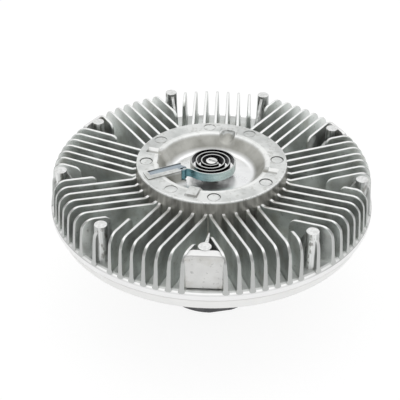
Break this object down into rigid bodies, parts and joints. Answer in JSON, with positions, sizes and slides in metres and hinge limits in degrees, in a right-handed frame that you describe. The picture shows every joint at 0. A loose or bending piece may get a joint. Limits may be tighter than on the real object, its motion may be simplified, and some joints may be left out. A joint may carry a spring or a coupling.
{
  "type": "viscous fan clutch",
  "caption": "Viscous fan clutch: finned cast cover with a bimetal coil in its hub bowl, rear body for the fan, inner rotor, ball bearing and a bolted drive flange.",
  "frame": {"origin": "centre of the drive flange's mounting face, on the spin axis", "axes": "+Z along the spin axis towards the finned front; -Y through the flat pad that faces the viewer"},
  "size_m": [0.25, 0.25, 0.1215],
  "materials": {
    "cast_aluminium": "as cast, slightly rough",
    "body_aluminium": "as cast with machined faces",
    "rotor_aluminium": "machined",
    "bimetal": "rolled strip, blue-grey",
    "keeper_steel": "zinc plated, bluish",
    "bright_steel": "ground",
    "plated_steel": "zinc plated",
    "dark_steel": "phosphated, dull",
    "bronze": "sintered",
    "rubber": "matt",
    "cage_plastic": "moulded"
  },
  "bodies": {
    "input": {"drive_hub": "dark_steel", "bearing_inner_ring": "bright_steel", "rotor": "rotor_aluminium", "rotor_washer": "plated_steel", "rotor_nut": "plated_steel"},
    "housing": {"front_cover": "cast_aluminium", "rear_body": "body_aluminium", "rim_seal": "rubber", "partition_plate": "plated_steel", "partition_rivets": "plated_steel", "scavenge_dam": "plated_steel", "valve_bush": "bronze", "bimetal_coil": "bimetal", "coil_keeper": "keeper_steel", "bearing_outer_ring": "bright_steel", "bearing_seals": "rubber", "bearing_circlip": "dark_steel", "fill_plug": "plated_steel"},
    "cage": {"bearing_balls": "bright_steel", "bearing_cage": "cage_plastic"},
    "valve": {"valve_shaft": "bright_steel", "valve_arm": "plated_steel", "valve_clip": "plated_steel", "valve_seal": "rubber"}
  },
  "joints": [
    {"name": "clutch_spin", "type": "hinge", "parent": "input", "child": "housing", "pos_m": [0, 0, 0.056], "axis": [0, 0, 1], "continuous": true},
    {"name": "cage_spin", "type": "hinge", "parent": "input", "child": "cage", "pos_m": [0, 0, 0.056], "axis": [0, 0, 1], "continuous": true},
    {"name": "valve_turn", "type": "hinge", "parent": "housing", "child": "valve", "pos_m": [0, 0, 0.1], "axis": [0, 0, 1], "range_deg": [0, 40], "stiffness_Nm_per_rad": 0.01, "deforming": ["bimetal_coil"]}
  ],
  "couplings": [
    {"joint": "cage_spin", "follows": "clutch_spin", "ratio": 0.6033}
  ]
}
